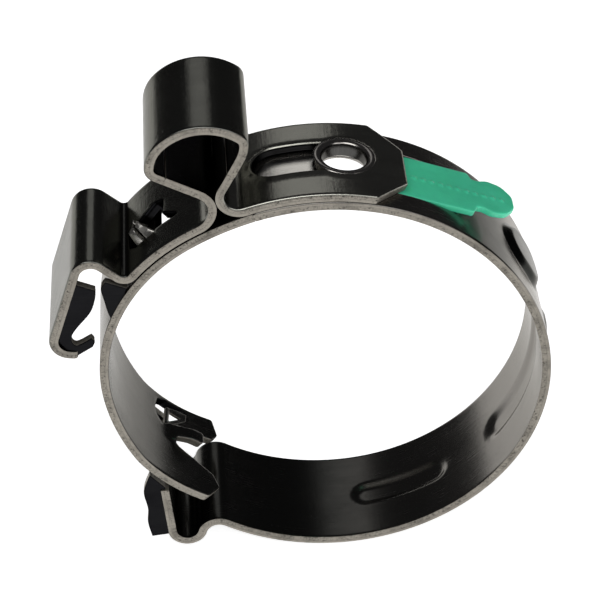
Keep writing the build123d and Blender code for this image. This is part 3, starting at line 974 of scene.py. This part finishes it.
def lathe(name, profile, origin, tangent, out, bore_steps, count=72):
    """A closed ring of revolution about the outward direction; profile is (radius, height) pairs,
    and its first bore_steps steps are the bore."""
    side = Vector((0, 1, 0))
    points, faces, uv, depth = [], [], [], []
    for k in range(count):
        angle = 2 * pi * k / count
        for radius, height in profile:
            p = origin + tangent * (radius * cos(angle)) + side * (radius * sin(angle)) + out * height
            points.append(tuple(p))
            uv.append((height, radius * angle))
            depth.append(1.0)
    size = len(profile)
    for k in range(count):
        for j in range(size):
            a, b = k * size + j, k * size + (j + 1) % size
            c, d = ((k + 1) % count) * size + (j + 1) % size, ((k + 1) % count) * size + j
            faces.append((a, b, c, d))
    kinds = [1 if j < bore_steps else 0 for k in range(count) for j in range(size)]
    return new_mesh(name, points, faces, kinds, uv, depth)


rivet_base = TOP_RADIUS - HALF + 0.02
rivet_top = STRAP_RADIUS + HALF + 0.33 - rivet_base
rivet_seat = rivet_top - 0.3
rivet_bore = [(RIVET_BORE, 0.75), (RIVET_BORE, rivet_top - 0.5), (RIVET_BORE + 0.1, rivet_top - 0.25)]
rivet_rim = [
    (RIVET_BORE + 0.32, rivet_top - 0.08), (RIVET_BORE + 0.62, rivet_top),
    (RIVET_RIM - 0.22, rivet_top - 0.02), (RIVET_RIM - 0.08, rivet_top - 0.07),
    (RIVET_RIM, rivet_top - 0.16), (RIVET_RIM - 0.02, rivet_seat + 0.04), (RIVET_RIM - 0.08, rivet_seat),
]
rivet_barrel = [(RIVET_OUTER, rivet_seat), (RIVET_OUTER, 0.14), (RIVET_OUTER - 0.05, 0.04)]
rivet_flare = [(RIVET_OUTER - 0.12, 0.0), (RIVET_BORE + 0.5, 0.0), (RIVET_BORE + 0.32, 0.12)]
rivet_profile = rivet_bore + rivet_rim + rivet_barrel + rivet_flare
origin, tangent, out = radial_frame(TOP_CENTRE, rivet_base, EYELET_ANGLE)
rivet = lathe("rivet", rivet_profile, origin, tangent, out, 2)
finish_piece(rivet, [rivet_face, bore_shade], 50.0)

# ---- the plastic tab ----
TAB_LEVEL = TOP_RADIUS + 0.05
TAB_HALF = 0.45
origin, tangent, out = radial_frame(TOP_CENTRE, TAB_LEVEL, TAB_ANGLE)


def tab_place(u, y, n):
    """The tab is flat: u is the length along it and n is outward."""
    p = origin + tangent * u + out * n
    return (p.x, y, p.z)


near_side = [(-2.6, -4.4), (9.6, -4.1)]
near_head = [(10.15, -2.75), (11.0, -2.65), (12.2, -3.2), (14.2, -2.75), (15.55, -1.0)]
far_head = [(15.55, 1.5), (14.2, 3.3), (12.2, 3.75), (11.0, 3.2), (10.15, 3.25)]
far_side = [(9.6, 4.4), (-2.6, 4.4)]
corner_radii = [0.4, 0.5, 0.4, 0.6, 1.5, 2.0, 1.8]
tab_outline = rounded(near_side + near_head + far_head + far_side, corner_radii + corner_radii[::-1])
PIP_START = 1.8
PIP_STEP = 1.2
PIP_LAST = 10
PIP_HEIGHT = 0.19
PIP_SPREAD = 0.3


def press_tab(u, y, n):
    """A row of pips along the middle of the top face."""
    if n < 0:
        return 0.0
    nearest = round((u - PIP_START) / PIP_STEP)
    if not 0 <= nearest <= PIP_LAST:
        return 0.0
    return PIP_HEIGHT * exp(-(hypot(u - PIP_START - PIP_STEP * nearest, y) / PIP_SPREAD) ** 2)


tab_columns = spread(-2.0, 15.2, 0.12)
tab_rows = spread(-3.9, -0.9, 0.5) + spread(-0.6, 0.6, 0.12) + spread(0.9, 3.9, 0.5)
tab = sheet_mesh("tab", tab_outline, [], tab_place, moulded_profile(TAB_HALF, 0.22), tab_columns, tab_rows,
                 press_tab, flip=True)
finish_piece(tab, [tab_green, tab_green])

# ---- riding on the bodies ----
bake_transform(band_right)
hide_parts("clamp_band", "closing_arm")
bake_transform(band_left)
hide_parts("inner_tongue")
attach(strap_foot, "root")
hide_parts("strap_anchor")
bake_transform(strap_crown)
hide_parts("hook_lever")
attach(strap_lever, "lever")
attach(hook_ears, "arm")
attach(lugs, "tongue")
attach(rivet, "root")
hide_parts("hollow_rivet")
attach(tab, "tab")
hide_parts("size_tab")

# ---- floor, light and camera ----
scene = bpy.context.scene
FLOOR_HALF = 1.6
FLOOR_GAP = 0.0004             # just clear of the lowest point, so the two never share a plane
floor_level = cad_low.z - FLOOR_GAP
floor_mesh = bpy.data.meshes.new("floor")
corner_signs = [(-1, -1), (1, -1), (1, 1), (-1, 1)]
floor_corners = [(x * FLOOR_HALF, y * FLOOR_HALF, floor_level) for x, y in corner_signs]
floor_mesh.from_pydata(floor_corners, [], [(0, 1, 2, 3)])
floor = bpy.data.objects.new("floor", floor_mesh)
scene.collection.objects.link(floor)
floor_material, tree, shader = node_tree("floor_paper")
shader.inputs["Base Color"].default_value = (0.9, 0.9, 0.9, 1.0)
shader.inputs["Emission Color"].default_value = (1.0, 1.0, 1.0, 1.0)
shader.inputs["Emission Strength"].default_value = 0.9
shader.inputs["Roughness"].default_value = 0.9
floor_mesh.materials.append(floor_material)

world = bpy.data.worlds.new("studio")
world.use_nodes = True
world.node_tree.nodes["Background"].inputs["Color"].default_value = (0.036, 0.036, 0.038, 1.0)
world.node_tree.nodes["Background"].inputs["Strength"].default_value = 1.0
scene.world = world


def area_light(name, place, aim, size_x, size_y, power):
    """A soft rectangular lamp, turned towards a point."""
    data = bpy.data.lights.new(name, "AREA")
    data.shape = "RECTANGLE"
    data.size, data.size_y = size_x, size_y
    data.energy = power
    lamp = bpy.data.objects.new(name, data)
    lamp.location = place
    lamp.rotation_mode = "QUATERNION"
    lamp.rotation_quaternion = (Vector(aim) - Vector(place)).to_track_quat("-Z", "Y")
    scene.collection.objects.link(lamp)


centre = (cad_low + cad_high) / 2
area_light("key", (-0.25, -0.55, 1.0), centre, 0.9, 0.6, 5.0)
area_light("fill", (0.5, -0.7, 0.7), centre, 0.7, 0.7, 2.5)
area_light("back", (-0.055, 0.76, 0.62), centre, 0.31, 0.35, 0.19)

CAMERA_PLACE = (-0.01881, -0.23934, 0.19621)
CAMERA_AIM = (-0.00406, 0.00407, 0.00463)
camera_data = bpy.data.cameras.new("camera")
camera_data.sensor_width = 36.0
camera_data.lens = 140.2
camera_data.clip_start, camera_data.clip_end = 0.01, 20.0
camera = bpy.data.objects.new("camera", camera_data)
camera.location = CAMERA_PLACE
camera.rotation_mode = "QUATERNION"
camera.rotation_quaternion = (Vector(CAMERA_AIM) - camera.location).to_track_quat("-Z", "Y")
scene.collection.objects.link(camera)
scene.camera = camera
scene.view_settings.view_transform = "Standard"
